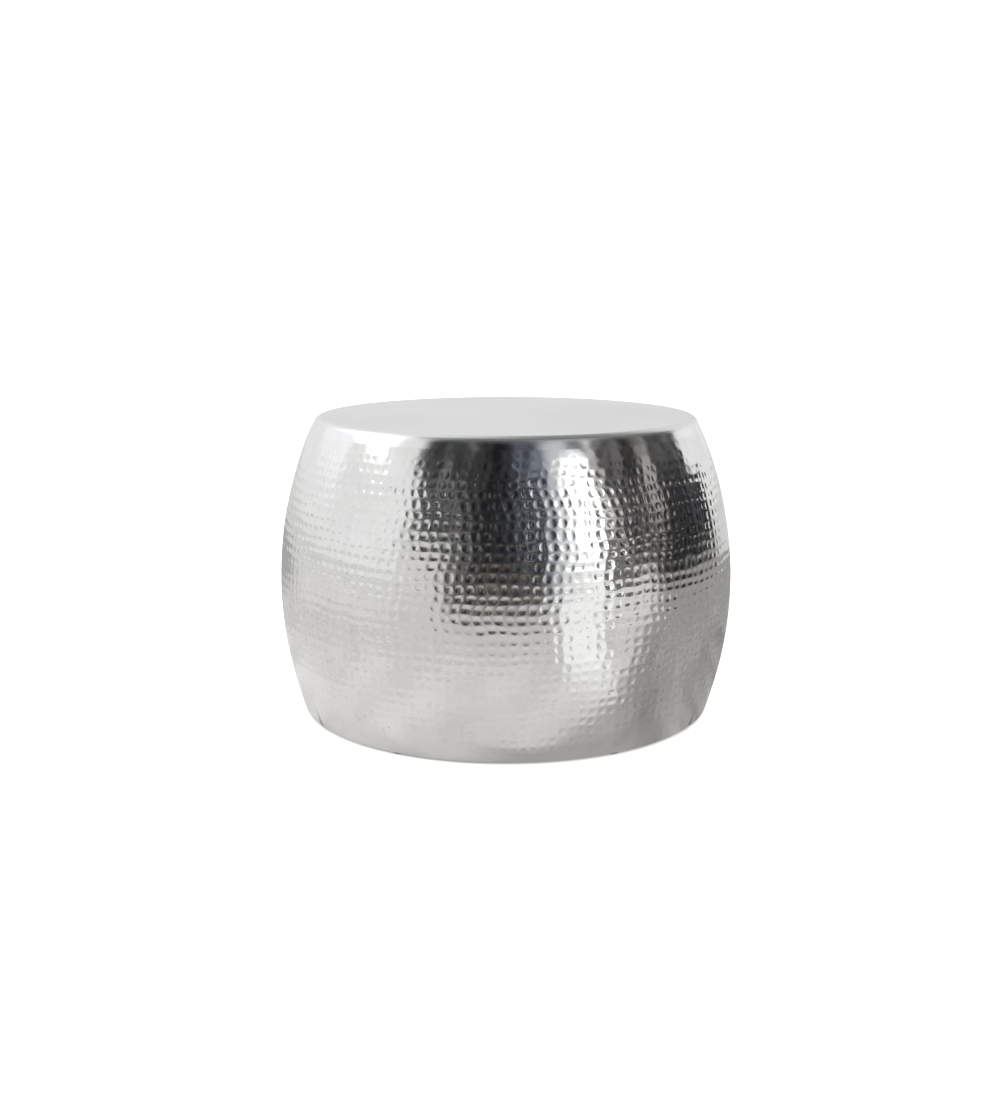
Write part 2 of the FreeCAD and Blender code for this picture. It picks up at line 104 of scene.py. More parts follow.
# Glossy rays see the paper glow near the drum and beyond about a metre, a painted reflection in the metal,
# and diffuse rays see it glow under the drum, a painted light on the drum's inside.
FLOOR_LIFTS = (
    (SEEN_DIRECTLY, FLOOR_SHADE_RADIUS, FLOOR_LIFT_RADIUS, (0, FLOOR_CAMERA_LIFT)),
    (("Is Glossy Ray",), FLOOR_SHADE_RADIUS, FLOOR_METAL_REACH, (FLOOR_METAL_GLOW, 0)),
    (("Is Glossy Ray",), FLOOR_FAR_START, FLOOR_FAR_END, (0, FLOOR_FAR_GLOW)),
    (("Is Diffuse Ray",), FLOOR_INSIDE_RADIUS, FLOOR_FLANGE_RADIUS, (FLOOR_INSIDE_GLOW, 0)),
)
WORLD_AMBIENT = 0.40
WORLD_IN_METAL = (0.765, 0.895)
WORLD_TONE_SCALE = 5.0
OVERHEAD_TURN = (math.radians(12), math.radians(-18), 0)
OVERHEAD_LEVEL = 1.1
OVERHEAD_SPREAD = math.radians(110)
SOFTBOX_PLACE = (-2.3, 0.20, 2.08)
SOFTBOX_SIZE = (2.2, 1.3)
SOFTBOX_POWER = 7.8
STRIP_PLACE = (1.75, -2.1, 1.15)
STRIP_SIZE = (0.60, 1.46)
STRIP_POWER = 3.9
LAMP_TARGET = (0.0, 0.0, 0.35)
TONE_DETAIL = 3.0
TONE_SPREAD = (0.3, 0.7)


def add_node(tree, kind, inputs=(), **settings):
    """A node of a shader tree, with its properties set and its inputs given values or sockets."""
    node = tree.nodes.new(kind)
    for name, value in settings.items():
        setattr(node, name, value)
    for place, value in dict(inputs).items():
        if isinstance(value, bpy.types.NodeSocket):
            tree.links.new(value, node.inputs[place])
        else:
            node.inputs[place].default_value = value
    return node


def calculate(tree, operation, *values):
    """The result of a Math node."""
    return add_node(tree, "ShaderNodeMath", dict(enumerate(values)), operation=operation).outputs[0]


def span(tree, value, old_range, new_range, interpolation="LINEAR"):
    """A value carried from one range to another, and held at its ends."""
    inputs = {"Value": value, "From Min": old_range[0], "From Max": old_range[1],
              "To Min": new_range[0], "To Max": new_range[1]}
    carried = add_node(tree, "ShaderNodeMapRange", inputs, interpolation_type=interpolation)
    return carried.outputs["Result"]


def ray_strength(tree, levels):
    """The greatest of the levels given to the kinds of ray that arrive."""
    light_path = add_node(tree, "ShaderNodeLightPath")
    strength = 0.0
    for ray, level in levels.items():
        share = calculate(tree, "MULTIPLY", light_path.outputs[ray], level)
        strength = calculate(tree, "MAXIMUM", strength, share)
    return strength


def object_place(tree, stretch=(1, 1, 1)):
    """Object coordinates in metres, stretched along each axis."""
    place = add_node(tree, "ShaderNodeTexCoord").outputs["Object"]
    return add_node(tree, "ShaderNodeMapping", {"Vector": place, "Scale": stretch}).outputs[0]


def ramp(tree, operation, reference, old_range, new_range):
    """A value that changes along a direction, or with the distance from a point, in metres."""
    inputs = {0: object_place(tree), 1: reference}
    measure = add_node(tree, "ShaderNodeVectorMath", inputs, operation=operation).outputs["Value"]
    return span(tree, measure, old_range, new_range, "SMOOTHSTEP")


def uneven_tone(tree, stretch, tones):
    """Soft light and dark patches, between two factors."""
    inputs = {"Vector": object_place(tree, stretch), "Scale": 1.0, "Detail": TONE_DETAIL}
    patches = add_node(tree, "ShaderNodeTexNoise", inputs).outputs[0]
    return span(tree, patches, TONE_SPREAD, tones)


def linked_object(name, shape, material):
    """A mesh object in the scene, made from a bmesh, which is freed."""
    mesh = bpy.data.meshes.new(name)
    shape.to_mesh(mesh)
    shape.free()
    mesh.materials.append(material)
    thing = bpy.data.objects.new(name, mesh)
    scene.collection.objects.link(thing)
    return thing


def blank_material(name):
    """A material with no nodes, for the studio's own surfaces, which aren't sampled as lamps."""
    material = bpy.data.materials.new(name)
    material.use_nodes = True
    material.node_tree.nodes.clear()
    material.cycles.emission_sampling = "NONE"
    return material


world = bpy.data.worlds.new("studio_world")
world.use_nodes = True
world.cycles.sampling_method = "NONE"
scene.world = world
background = world.node_tree.nodes["Background"]
background.inputs["Color"].default_value = (1, 1, 1, 1)
world_in_metal = uneven_tone(world.node_tree, (WORLD_TONE_SCALE,) * 3, WORLD_IN_METAL)
world_strength = ray_strength(world.node_tree, {
    "Is Camera Ray": 1.0,
    "Is Transmission Ray": 1.0,
    "Is Glossy Ray": world_in_metal,
    "Is Diffuse Ray": WORLD_AMBIENT,
})
world.node_tree.links.new(world_strength, background.inputs["Strength"])

floor_paper = blank_material("floor_paper")
floor_tree = floor_paper.node_tree
floor_tone = uneven_tone(floor_tree, (FLOOR_TONE_SCALE,) * 3, FLOOR_TONE)
floor_shade = add_node(floor_tree, "ShaderNodeVectorMath", {0: FLOOR_COLOUR, "Scale": floor_tone},
                       operation="SCALE")
floor_matt = add_node(floor_tree, "ShaderNodeBsdfDiffuse", {"Color": floor_shade.outputs["Vector"]})
floor_level = 0.0
for rays, near, far, levels in FLOOR_LIFTS:
    seen = ray_strength(floor_tree, {ray: 1.0 for ray in rays})
    level = ramp(floor_tree, "LENGTH", (0, 0, 0), (near, far), levels)
    floor_level = calculate(floor_tree, "MULTIPLY_ADD", seen, level, floor_level)
floor_glow = add_node(floor_tree, "ShaderNodeEmission", {"Strength": floor_level})
floor_sum = add_node(floor_tree, "ShaderNodeAddShader",
                     {0: floor_matt.outputs[0], 1: floor_glow.outputs[0]})
floor_from_below = add_node(floor_tree, "ShaderNodeNewGeometry").outputs["Backfacing"]
floor_clear = add_node(floor_tree, "ShaderNodeBsdfTransparent")
floor_sides = add_node(floor_tree, "ShaderNodeMixShader",
                       {0: floor_from_below, 1: floor_sum.outputs[0], 2: floor_clear.outputs[0]})
add_node(floor_tree, "ShaderNodeOutputMaterial", {"Surface": floor_sides.outputs[0]})

floor_shape = bmesh.new()
bmesh.ops.create_grid(floor_shape, x_segments=1, y_segments=1, size=FLOOR_REACH)
bmesh.ops.translate(floor_shape, verts=floor_shape.verts, vec=(0, 0, -FLOOR_DROP))
linked_object("studio_floor", floor_shape, floor_paper)

overhead_data = bpy.data.lights.new("overhead_lamp", "SUN")
overhead_data.energy = OVERHEAD_LEVEL
overhead_data.angle = OVERHEAD_SPREAD
overhead = bpy.data.objects.new("overhead_lamp", overhead_data)
overhead.rotation_euler = OVERHEAD_TURN
overhead.visible_glossy = False
scene.collection.objects.link(overhead)


def area_lamp(name, place, size, power):
    """A rectangular soft lamp that faces the drum."""
    lamp_data = bpy.data.lights.new(name, "AREA")
    lamp_data.shape = "RECTANGLE"
    lamp_data.size = size[0]
    lamp_data.size_y = size[1]
    lamp_data.energy = power
    lamp = bpy.data.objects.new(name, lamp_data)
    lamp.location = place
    aim = Vector(LAMP_TARGET) - Vector(place)
    lamp.rotation_euler = aim.to_track_quat("-Z", "Y").to_euler()
    scene.collection.objects.link(lamp)


area_lamp("softbox", SOFTBOX_PLACE, SOFTBOX_SIZE, SOFTBOX_POWER)
area_lamp("strip_light", STRIP_PLACE, STRIP_SIZE, STRIP_POWER)

# Studio flags
# Glowing cards round the drum in the tones of cloth and card, seen only in the metal as painted
# reflections, where the dark ones give the polish its depth.
# A flag has two angles, in degrees from the camera round to the right, and two heights or two radii.
FLAG_STEP = math.radians(4)
WALL_DISTANCE = 3.0
CARD_DISTANCE = 2.9
CEILING_HEIGHT = 3.6
FLOOR_CARD_HEIGHT = 0.003
CLOTH_SPLIT = 1.9
RIGHT_SPLIT = 0.5
DARK_SPLIT = 0.7
CLOTH_FOLDS = (3.2, 3.2, 0.8)
CLOTH_TONE = (0.2, 1.6)
CLOTH_PAINTED_SHEEN = 2.2
CREST_TONE = (1.0, 1.35)
CEILING_FOLDS = (1.6, 1.6, 1.6)
CARD_FOLDS = (5, 5, 5)
CARD_TONE = (0.92, 1.08)
GREY_CLOTH = (0.056, 0.054, 0.054)
WARM_SHADE = (0.120, 0.108, 0.098)
SLATE_SHADE = (0.120, 0.109, 0.100)
FOOT_GREY = (0.08, 0.078, 0.076)
PAPER_GREY = (0.65, 0.64, 0.63)
WHITE = (1.0, 1.0, 1.0)
DRUM_FOOT = (0.0, 0.0, 0.0)
UP = (0.0, 0.0, 1.0)
DOWN = (0.0, 0.0, -1.0)
LEFT = (-1.0, 0.0, 0.0)
FRONT = (0.0, -1.0, 0.0)
BACK_LEFT = (-0.72, 0.69, 0.0)


def stage_card(name, shape, colour, folds, tone, sheen=0.0, far_colour=None, fades=()):
    """A glowing flag of one colour in uneven tones, with a painted sheen on its crests where one is given,
    which fades to another colour or to nothing.

    A fade is a measure of the place, what it is measured from or along, and where it starts and ends.
    """
    card_paint = blank_material(name)
    card_tree = card_paint.node_tree
    card_tone = uneven_tone(card_tree, folds, tone)
    if sheen:
        # The crests of the folds glow brighter: a painted sheen.
        painted_crest_sheen = span(card_tree, card_tone, CREST_TONE, (0, sheen), "SMOOTHSTEP")
        card_tone = calculate(card_tree, "ADD", card_tone, painted_crest_sheen)
    glow = {"Color": colour + (1,), "Strength": card_tone}
    surface = add_node(card_tree, "ShaderNodeEmission", glow).outputs[0]
    if fades:
        share = 0.0
        for operation, reference, start, end in fades:
            faded = ramp(card_tree, operation, reference, (start, end), (0, 1))
            share = calculate(card_tree, "MAXIMUM", share, faded)
        if far_colour:
            far_glow = {"Color": far_colour + (1,), "Strength": card_tone}
            far_paint = add_node(card_tree, "ShaderNodeEmission", far_glow)
        else:
            far_paint = add_node(card_tree, "ShaderNodeBsdfTransparent")
        paints = {0: share, 1: surface, 2: far_paint.outputs[0]}
        surface = add_node(card_tree, "ShaderNodeMixShader", paints).outputs[0]
    add_node(card_tree, "ShaderNodeOutputMaterial", {"Surface": surface})
    flag = linked_object(name, shape, card_paint)
    flag.visible_camera = False
    flag.visible_diffuse = False
    flag.visible_shadow = False


def swept_card(first, last, start, end):
    """A strip swept round the axis between two angles, from one (radius, height) to another."""
    side = Vector((math.sin(math.radians(first)), -math.cos(math.radians(first)), 0))
    turn = math.radians(last - first)
    card = bmesh.new()
    start_vert = card.verts.new(side * start[0] + Vector((0, 0, start[1])))
    end_vert = card.verts.new(side * end[0] + Vector((0, 0, end[1])))
    edge = card.edges.new((start_vert, end_vert))
    bmesh.ops.spin(card, geom=[start_vert, end_vert, edge], axis=(0, 0, 1), cent=(0, 0, 0),
                   angle=turn, steps=max(2, round(turn / FLAG_STEP)))
    return card


def wall_flag(name, first, last, low, high, colour, far_colour=None, fades=()):
    """A glowing card in dark cloth tones, hung upright in folds at the wall's distance, with a painted
    sheen on the crests.
    """
    cloth = swept_card(first, last, (WALL_DISTANCE, low), (WALL_DISTANCE, high))
    stage_card(name, cloth, colour, CLOTH_FOLDS, CLOTH_TONE, CLOTH_PAINTED_SHEEN, far_colour, fades)


def wall_card(name, first, last, low, high, colour, fades=()):
    """A pale glowing card that stands in front of the cloth."""
    card = swept_card(first, last, (CARD_DISTANCE, low), (CARD_DISTANCE, high))
    stage_card(name, card, colour, CARD_FOLDS, CARD_TONE, fades=fades)


def floor_flag(name, first, last, near, far, colour, far_colour=None, fades=()):
    """A glowing card that lies on the floor."""
    card = swept_card(first, last, (near, FLOOR_CARD_HEIGHT), (far, FLOOR_CARD_HEIGHT))
    stage_card(name, card, colour, CARD_FOLDS, CARD_TONE, far_colour=far_colour, fades=fades)


left_low_fades = [("DOT_PRODUCT", BACK_LEFT, -0.15, 0.46)]
left_high_fades = [("DOT_PRODUCT", BACK_LEFT, 0.10, 0.55)]
foot_fades = [("DOT_PRODUCT", DOWN, -0.78, 0.0)]
strip_side_fades = [
    ("DOT_PRODUCT", (-0.56, -0.83, 0.0), -0.42, 0.31),
    ("DOT_PRODUCT", DOWN, -0.42, 0.0),
]
right_foot_fades = [("DOT_PRODUCT", DOWN, -0.22, 0.0)]
head_fades = [("DOT_PRODUCT", UP, 0.85, 1.65)]
wall_flag("cloth_grey_left_low", -54, -12, 0, CLOTH_SPLIT, GREY_CLOTH, fades=left_low_fades)
wall_flag("cloth_grey_left_high", -56, -9, CLOTH_SPLIT, CEILING_HEIGHT, GREY_CLOTH, fades=left_high_fades)
wall_flag("cloth_black_low", -12, -1, 0, CLOTH_SPLIT, (0.012, 0.012, 0.014), WARM_SHADE, foot_fades)
wall_flag("cloth_black_high", -9, 6, CLOTH_SPLIT, CEILING_HEIGHT, (0.010, 0.010, 0.012))
wall_flag("cloth_slate_low", -1, 24, 0, CLOTH_SPLIT, (0.044, 0.047, 0.056), SLATE_SHADE, foot_fades)
wall_flag("cloth_slate_high", 6, 24, CLOTH_SPLIT, CEILING_HEIGHT, (0.095, 0.105, 0.125))
wall_card("card_over_strip", 26, 40, CLOTH_SPLIT, CEILING_HEIGHT, (0.55, 0.56, 0.58))
wall_flag("cloth_over_strip", 40, 47, CLOTH_SPLIT, CEILING_HEIGHT, (0.17, 0.17, 0.175))
wall_card("card_under_strip", 38, 48, 0, 0.45, WHITE)
wall_flag("cloth_grey_right", 47, 78, 0, CEILING_HEIGHT,
          (0.044, 0.042, 0.042), (0.30, 0.29, 0.285), strip_side_fades)
wall_flag("cloth_pale_right", 78, 90, RIGHT_SPLIT, CEILING_HEIGHT, (0.120, 0.114, 0.110))
wall_flag("cloth_low_right", 78, 90, 0, RIGHT_SPLIT, (0.030, 0.028, 0.028), FOOT_GREY, right_foot_fades)
wall_flag("cloth_dark_low", 90, 126, 0, DARK_SPLIT, (0.022, 0.021, 0.023), FOOT_GREY, right_foot_fades)
wall_flag("cloth_dark_high", 90, 115, DARK_SPLIT, CEILING_HEIGHT,
          (0.028, 0.028, 0.031), (0.14, 0.138, 0.14), head_fades)

low_card_fades = [
    ("DOT_PRODUCT", UP, 0.50, 1.00),
    ("DOT_PRODUCT", (0.87, -0.49, 0.0), -0.28, 0.42),
]
by_strip_fades = [("DOT_PRODUCT", (-0.93, -0.37, 0.0), -0.26, 0.26)]
card_foot_fades = [("DOT_PRODUCT", DOWN, -1.1, -0.55)]
wall_card("card_low_left", -54, -20, 0, 1.0, (0.70, 0.69, 0.68), low_card_fades)
wall_card("card_by_strip", 17, 27, 0, CEILING_HEIGHT, (0.46, 0.49, 0.53), by_strip_fades)
wall_card("card_back_left", -130, -100, 0.5, 2.2, (0.99, 0.99, 1.0), card_foot_fades)
ceiling = swept_card(-70, 187, (0.0, CEILING_HEIGHT), (WALL_DISTANCE, CEILING_HEIGHT))
stage_card("cloth_ceiling", ceiling, (0.085, 0.085, 0.092), CEILING_FOLDS, CLOTH_TONE)

front_fades = [("DOT_PRODUCT", FRONT, 0.62, 2.3)]
strip_fades = [("DOT_PRODUCT", (0.5, -0.87, 0.0), 0.24, 0.72)]
under_strip_fades = [("LENGTH", DRUM_FOOT, 1.5, 0.95)]
edge_fades = [("DISTANCE", (-0.90, 1.20, 0.0), 0.35, 0.85)]
foot_shade_fades = [
    ("LENGTH", DRUM_FOOT, 0.278, 0.302),
    ("DOT_PRODUCT", LEFT, -0.04, 0.07),
]
far_right_fades = [("LENGTH", DRUM_FOOT, 2.9, 1.6)]
# These floor cards glow and are seen only in the metal: by the strip they paint the strip light's pool on
# the paper, further out the darker floor, and at the foot and on the right the drum's shadow.
floor_flag("floor_front", -27, 22, 0.60, WALL_DISTANCE, (0.63, 0.615, 0.595), WARM_SHADE, front_fades)
floor_flag("floor_front_left", -50, -27, 0.60, WALL_DISTANCE, PAPER_GREY)
floor_flag("floor_by_strip", 22, 38, 0.38, WALL_DISTANCE, PAPER_GREY, WHITE, strip_fades)
floor_flag("floor_under_strip", 38, 46, 0.95, WALL_DISTANCE, WHITE, fades=under_strip_fades)
floor_flag("floor_edge_left", -180, -106, 0.6, 2.4, (0.40, 0.40, 0.40), fades=edge_fades)
floor_flag("floor_foot_shade", -15, 28, 0.268, 0.302, (0.40, 0.385, 0.37), fades=foot_shade_fades)
floor_flag("floor_far_right", 72, 126, 1.6, WALL_DISTANCE, (0.08, 0.078, 0.078), fades=far_right_fades)

SHADE_COLOUR = (0.345, 0.335, 0.325)
SHADE_FOLDS = (5, 16, 5)
SHADE_TONE = (0.66, 1.34)
SHADE_SIZE = (1.45, 0.78)
SHADE_PLACE = (1.05, 0.35, FLOOR_CARD_HEIGHT / 2)
shade_card = bmesh.new()
bmesh.ops.create_grid(shade_card, x_segments=1, y_segments=1, size=1.0)
bmesh.ops.scale(shade_card, verts=shade_card.verts, vec=(*SHADE_SIZE, 1))
bmesh.ops.translate(shade_card, verts=shade_card.verts, vec=SHADE_PLACE)
shade_fades = [
    ("DOT_PRODUCT", (-0.238, -0.971, 0.0), 0.225, 0.285),
    ("DOT_PRODUCT", LEFT, -0.25, 0.3),
]
stage_card("floor_shade_right", shade_card, SHADE_COLOUR, SHADE_FOLDS, SHADE_TONE, fades=shade_fades)

# Shell panels
# Three barrel staves of 2 mm aluminium, hammered by hand in rows from the outside and then polished.
# They are welded edge to edge, the inside is left dull, and the foot is turned in as a flange.
SHEET = 0.002
BELLY_RADIUS = cad_box[1].x
BELLY_HEIGHT = 0.170
BARREL_ARC = 0.490
BEND_RADIUS = 0.004
FLANGE_WIDTH = 0.024
FLANGE_LIFT = 0.0002
STAVE_TURN = math.radians(120)
STAVE_AZIMUTHS = {"front": -90, "right": 30, "left": 150}
FIRST_SEED = 11
FLANGE_ROWS = 2
BEND_ROWS = 4
HEM_LINES = (0.0060, 0.0072, 0.0084)
CREASE_DEPTH = 0.0004
CREASE_SHARE = 0.13
SEAM_DEPTH = 0.0006
SEAM_WIDTH = 0.006
SEAM_RISE = 0.036
SEAM_GAIN = 1.6
DIMPLE_ROWS = 31
DIMPLE_COLUMNS = 49
DIMPLE_DEPTH = 0.00040
DIMPLE_RINGS = (1.0, 0.82, 0.46)
DIMPLE_FILL = (0.84, 0.97)
DIMPLE_WOBBLE = (0.93, 1.03)
CELL_MARGIN = 0.2
CELL_CUTS = 2
RING_INSET = 0.001
RIDGE_DIP = 0.15
STAIN_POWER = 1.5
STAIN_AT_EDGE = 0.5
ROW_SLIP = 0.36
ROW_SLIP_RANGE = (0.6, 1.2)
ROW_SLIP_MOST = 0.9
ROW_SLIP_TAPER = 4
ROW_SPREAD = 0.10
ROW_DRIFT = 0.35
ROW_DRIFT_SCALE = (0.16, 0.05)
ROW_WAVE = 0.30
ROW_WAVE_SCALE = (0.12, 0.08)
ROW_WAVE_SEED = 50
BLOW_SCATTER = 0.17
BLOW_STRENGTH = (0.55, 1.35)
RIM_BLOW = (0.4, 1.0)
RIM_BLOW_ROWS = 4
FOOT_BLOW = (0.2, 1.1)
FOOT_BLOW_ROWS = 2
SWELL_DEPTH = 0.0009
SWELL_LENGTH = 0.075
TOP_SWELL = 1.0
TOP_SWELL_ROWS = 10
EDGE_ROWS = 2
TOP_BUCKLE = 2.5
BUCKLE_DEPTH = 0.00022
BUCKLE_LENGTH = 0.030
SHARP_ANGLE = math.radians(40)

flange_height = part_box("shell_panel_front")[0].z
stave_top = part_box("top_plate")[0].z
arc_radius_offset = BELLY_RADIUS - BARREL_ARC
bend_height = flange_height + BEND_RADIUS
low_angle = -math.asin((BELLY_HEIGHT - bend_height) / (BARREL_ARC - BEND_RADIUS))
hem_angle = low_angle + HEM_LINES[-1] / BARREL_ARC
high_angle = math.asin((stave_top - BELLY_HEIGHT) / BARREL_ARC)
bend_radius_place = arc_radius_offset + (BARREL_ARC - BEND_RADIUS) * math.cos(low_angle)
wall_row = FLANGE_ROWS + BEND_ROWS
hem_row = wall_row + len(HEM_LINES)
stave_rows = hem_row + DIMPLE_ROWS


def stave_section(row):
    """Radius, height and outward direction of a stave's outer face at a row counted from the flange."""
    if row <= FLANGE_ROWS:
        inner = bend_radius_place - FLANGE_WIDTH
        return inner + FLANGE_WIDTH * row / FLANGE_ROWS, flange_height, 0.0, -1.0
    if row <= wall_row:
        share = (row - FLANGE_ROWS) / BEND_ROWS
        angle = -math.pi / 2 + (low_angle + math.pi / 2) * share
        across, up = math.cos(angle), math.sin(angle)
        return bend_radius_place + BEND_RADIUS * across, bend_height + BEND_RADIUS * up, across, up
    if row < hem_row:
        angle = low_angle + HEM_LINES[round(row) - wall_row - 1] / BARREL_ARC
    else:
        angle = hem_angle + (high_angle - hem_angle) * (row - hem_row) / DIMPLE_ROWS
    across, up = math.cos(angle), math.sin(angle)
    return arc_radius_offset + BARREL_ARC * across, BELLY_HEIGHT + BARREL_ARC * up, across, up


def blow_strength(row, draw):
    """How hard one hammer blow fell: lighter and less even next to the rim and the foot."""
    from_top = stave_rows - row
    from_foot = row - hem_row
    strength = draw.uniform(*BLOW_STRENGTH)
    if from_top < RIM_BLOW_ROWS:
        strength *= draw.uniform(*RIM_BLOW) * from_top / RIM_BLOW_ROWS
    if from_foot < FOOT_BLOW_ROWS:
        strength *= draw.uniform(*FOOT_BLOW)
    return strength


def seam_share(column, radius, height):
    """How open the weld is at a place: the foot of each seam is left unfilled."""
    from_edge = min(column, DIMPLE_COLUMNS - column) * STAVE_TURN / DIMPLE_COLUMNS * radius
    near_foot = min(1.0, max(0.0, SEAM_GAIN * (1 - height / SEAM_RISE)))
    return max(0.0, 1 - from_edge / SEAM_WIDTH) * near_foot


def beaten_swell(place, near_top):
    """How far broad swells and short buckles take the sheet inside the true barrel, most at the top."""
    swell = SWELL_DEPTH * (1 + TOP_SWELL * near_top) * noise.noise(place / SWELL_LENGTH)
    buckle = BUCKLE_DEPTH * (1 + TOP_BUCKLE * near_top) * noise.noise(place / BUCKLE_LENGTH)
    return (swell + buckle) / 2


def hollow_depth(place, column, row):
    """How far the hammered face lies inside the true barrel, from its swells and the creased hem."""
    if row <= FLANGE_ROWS:
        return FLANGE_LIFT
    if row <= hem_row:
        from_middle = abs(column / DIMPLE_COLUMNS - 0.5)
        creased = round(row) == wall_row + 2
        return CREASE_DEPTH * max(0.0, 1 - from_middle / CREASE_SHARE) if creased else 0.0
    fade = min(1.0, (row - hem_row) / EDGE_ROWS)
    near_top = max(0.0, 1 - (stave_rows - row) / TOP_SWELL_ROWS)
    settle = (SWELL_DEPTH + BUCKLE_DEPTH) / 2 * (1 - near_top)
    return fade * (settle + beaten_swell(place, near_top))


def flat_sheet(draw, seed):
    """A flat grid in cell units, whose hammered rows slip, spread and wander as rows set by eye do."""
    sheet = bmesh.new()
    for layer_name in ("dish", "patina", "seam", "inside"):
        sheet.verts.layers.float.new(layer_name)
    bmesh.ops.create_grid(sheet, x_segments=DIMPLE_COLUMNS, y_segments=stave_rows, size=0.5)
    bmesh.ops.translate(sheet, verts=sheet.verts, vec=(0.5, 0.5, 0))
    bmesh.ops.scale(sheet, verts=sheet.verts, vec=(DIMPLE_COLUMNS, stave_rows, 1))
    slips = [0.0]
    for _ in range(stave_rows):
        step = draw.choice((-1, 1)) * ROW_SLIP * draw.uniform(*ROW_SLIP_RANGE)
        slips.append(slips[-1] + step if abs(slips[-1] + step) < ROW_SLIP_MOST else slips[-1] - step)
    lifts = [draw.uniform(-ROW_SPREAD, ROW_SPREAD) for _ in range(stave_rows + 1)]
    for vert in sheet.verts:
        column, row, _ = vert.co
        if 0.5 < column < DIMPLE_COLUMNS - 0.5 and hem_row + 0.5 < row < stave_rows - 0.5:
            line = round(row)
            drift = noise.noise((row * ROW_DRIFT_SCALE[0], column * ROW_DRIFT_SCALE[1], seed))
            wave = noise.noise((column * ROW_WAVE_SCALE[0], row * ROW_WAVE_SCALE[1], seed + ROW_WAVE_SEED))
            taper = min(1.0, column / ROW_SLIP_TAPER, (DIMPLE_COLUMNS - column) / ROW_SLIP_TAPER)
            slip = taper * (slips[line] + ROW_DRIFT * drift)
            lift = lifts[line] + ROW_WAVE * wave
            vert.co.x += slip + draw.uniform(-BLOW_SCATTER, BLOW_SCATTER)
            vert.co.y += lift + draw.uniform(-BLOW_SCATTER, BLOW_SCATTER)
    return sheet


def hammer_blows(cells, draw):
    """The centre, half width, half height and strength of the blow that falls in each cell."""
    blows = []
    for cell in cells:
        by_height = sorted((v.co for v in cell.verts), key=lambda place: place.y)
        low_left, low_right = sorted(by_height[:2], key=lambda place: place.x)
        high_left, high_right = sorted(by_height[2:], key=lambda place: place.x)
        across = (low_right + high_right - low_left - high_left) / 2
        upward = (high_left + high_right - low_left - low_right) / 2
        size = draw.uniform(*DIMPLE_FILL) / 2
        half_width = size * across.x * upward.y / upward.length
        half_height = size * upward.y * across.x / across.length
        centre = (low_left + low_right + high_left + high_right) / 4
        blows.append((centre, half_width, half_height, blow_strength(centre.y, draw)))
    return blows


def is_upright(edge):
    """Whether an edge of the flat sheet runs up it more than across it."""
    start, end = (vert.co for vert in edge.verts)
    return abs(start.x - end.x) < abs(start.y - end.y)


def cut_cell_edges(sheet, cells):
    """Cut the cells' edges in three, so that dishes can be round, and give the upright edges' cuts."""
    cell_edges = dict.fromkeys(edge for cell in cells for edge in cell.edges)
    upright = [edge for edge in cell_edges if is_upright(edge)]
    level = [edge for edge in cell_edges if not is_upright(edge)]
    bmesh.ops.bisect_edges(sheet, edges=level, cuts=CELL_CUTS)
    cuts = bmesh.ops.bisect_edges(sheet, edges=upright, cuts=CELL_CUTS)["geom_split"]
    return [part for part in cuts if isinstance(part, bmesh.types.BMVert)]


def inner_skin(sheet):
    """The vertices of a smooth copy of the sheet, turned over and one gauge further in."""
    inside = sheet.verts.layers.float["inside"]
    skin = bmesh.ops.duplicate(sheet, geom=sheet.verts[:] + sheet.edges[:] + sheet.faces[:])["geom"]
    skin_faces = [part for part in skin if isinstance(part, bmesh.types.BMFace)]
    skin_verts = {part for part in skin if isinstance(part, bmesh.types.BMVert)}
    bmesh.ops.reverse_faces(sheet, faces=skin_faces)
    for vert in skin_verts:
        vert.co.z = SHEET
        vert[inside] = 1.0
    return skin_verts


def beat_dishes(sheet, cells, blows, saddles, draw):
    """Sink a dish under each blow, ring by ring, with a low saddle where two dishes of a row meet."""
    dish = sheet.verts.layers.float["dish"]
    patina = sheet.verts.layers.float["patina"]
    strengths = {cell: blow[-1] for cell, blow in zip(cells, blows)}
    for vert in saddles:
        beside = [strengths[face] for face in vert.link_faces if face in strengths]
        if len(beside) == 2:
            vert.co.z = RIDGE_DIP * DIMPLE_DEPTH * sum(beside) / 2

    wobbles = [[draw.uniform(*DIMPLE_WOBBLE) for _ in cell.verts] for cell in cells]
    stains = [draw.random() ** STAIN_POWER for _ in cells]
    for ring in DIMPLE_RINGS:
        bmesh.ops.inset_individual(sheet, faces=cells, thickness=RING_INSET)
        for cell, blow, wobble, stain in zip(cells, blows, wobbles, stains):
            centre, half_width, half_height, strength = blow
            corners = [loop.vert for loop in cell.loops]
            first = max(corners, key=lambda v: v.co.x - centre.x + v.co.y - centre.y)
            start = corners.index(first)
            step = 2 * math.pi / len(corners)
            for place, vert in enumerate(corners[start:] + corners[:start]):
                angle = math.pi / 4 + place * step
                vert.co.x = centre.x + half_width * ring * wobble[place] * math.cos(angle)
                vert.co.y = centre.y + half_height * ring * wobble[place] * math.sin(angle)
                vert[dish] = 1 - ring * ring
                vert[patina] = stain * (STAIN_AT_EDGE + (1 - STAIN_AT_EDGE) * vert[dish])
                dip = RIDGE_DIP * math.cos(angle) ** 2 * ring * ring
                vert.co.z = DIMPLE_DEPTH * strength * (vert[dish] + dip)
    poked = bmesh.ops.poke(sheet, faces=cells)["verts"]
    for vert, (centre, _, _, strength), stain in zip(poked, blows, stains):
        vert.co = (centre.x, centre.y, DIMPLE_DEPTH * strength)
        vert[dish] = 1.0
        vert[patina] = stain


